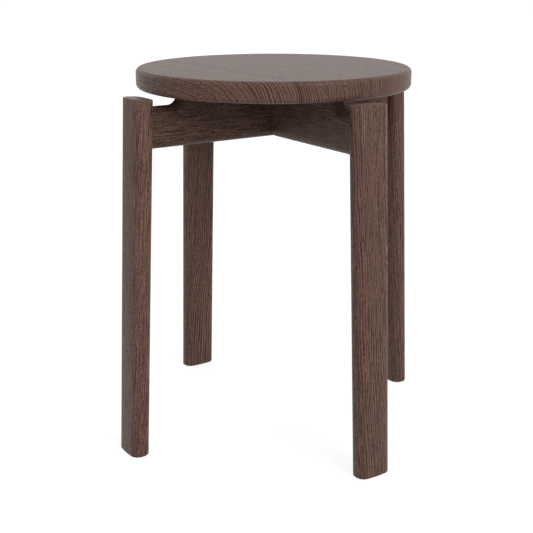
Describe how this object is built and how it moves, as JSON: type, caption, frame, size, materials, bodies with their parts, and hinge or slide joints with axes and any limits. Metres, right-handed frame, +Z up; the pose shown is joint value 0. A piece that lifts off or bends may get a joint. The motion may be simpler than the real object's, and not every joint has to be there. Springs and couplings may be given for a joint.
{
  "type": "stool",
  "caption": "Low round wooden stool: dark-stained oak seat on two half-lapped cross beams, with splayed flat legs standing outside the seat's rim.",
  "frame": {"origin": "on the floor, under the middle of the seat", "axes": "+Z up; the lower cross beam runs along X and the upper one along Y, with a leg at each end of both"},
  "size_m": [0.4286, 0.4286, 0.45],
  "materials": {
    "seat": "dark brown stained oak, satin lacquer",
    "beams": "dark brown stained oak, satin lacquer",
    "legs": "dark brown stained oak, satin lacquer",
    "dowels": "plain beech",
    "screws": "zinc plated",
    "inserts": "plain brass",
    "glides": "matt black nylon"
  },
  "bodies": {
    "root": {"seat_stave_1": "seat", "seat_stave_2": "seat", "seat_stave_3": "seat", "seat_stave_4": "seat", "seat_stave_5": "seat", "cross_beam_lower": "beams", "cross_beam_upper": "beams", "leg_right": "legs", "dowel_lower_right": "dowels", "dowel_upper_right": "dowels", "seat_screw_right": "screws", "washer_right": "screws", "threaded_insert_right": "inserts", "foot_glide_right": "glides", "leg_back": "legs", "dowel_lower_back": "dowels", "dowel_upper_back": "dowels", "seat_screw_back": "screws", "washer_back": "screws", "threaded_insert_back": "inserts", "foot_glide_back": "glides", "leg_left": "legs", "dowel_lower_left": "dowels", "dowel_upper_left": "dowels", "seat_screw_left": "screws", "washer_left": "screws", "threaded_insert_left": "inserts", "foot_glide_left": "glides", "leg_front": "legs", "dowel_lower_front": "dowels", "dowel_upper_front": "dowels", "seat_screw_front": "screws", "washer_front": "screws", "threaded_insert_front": "inserts", "foot_glide_front": "glides"}
  },
  "joints": []
}
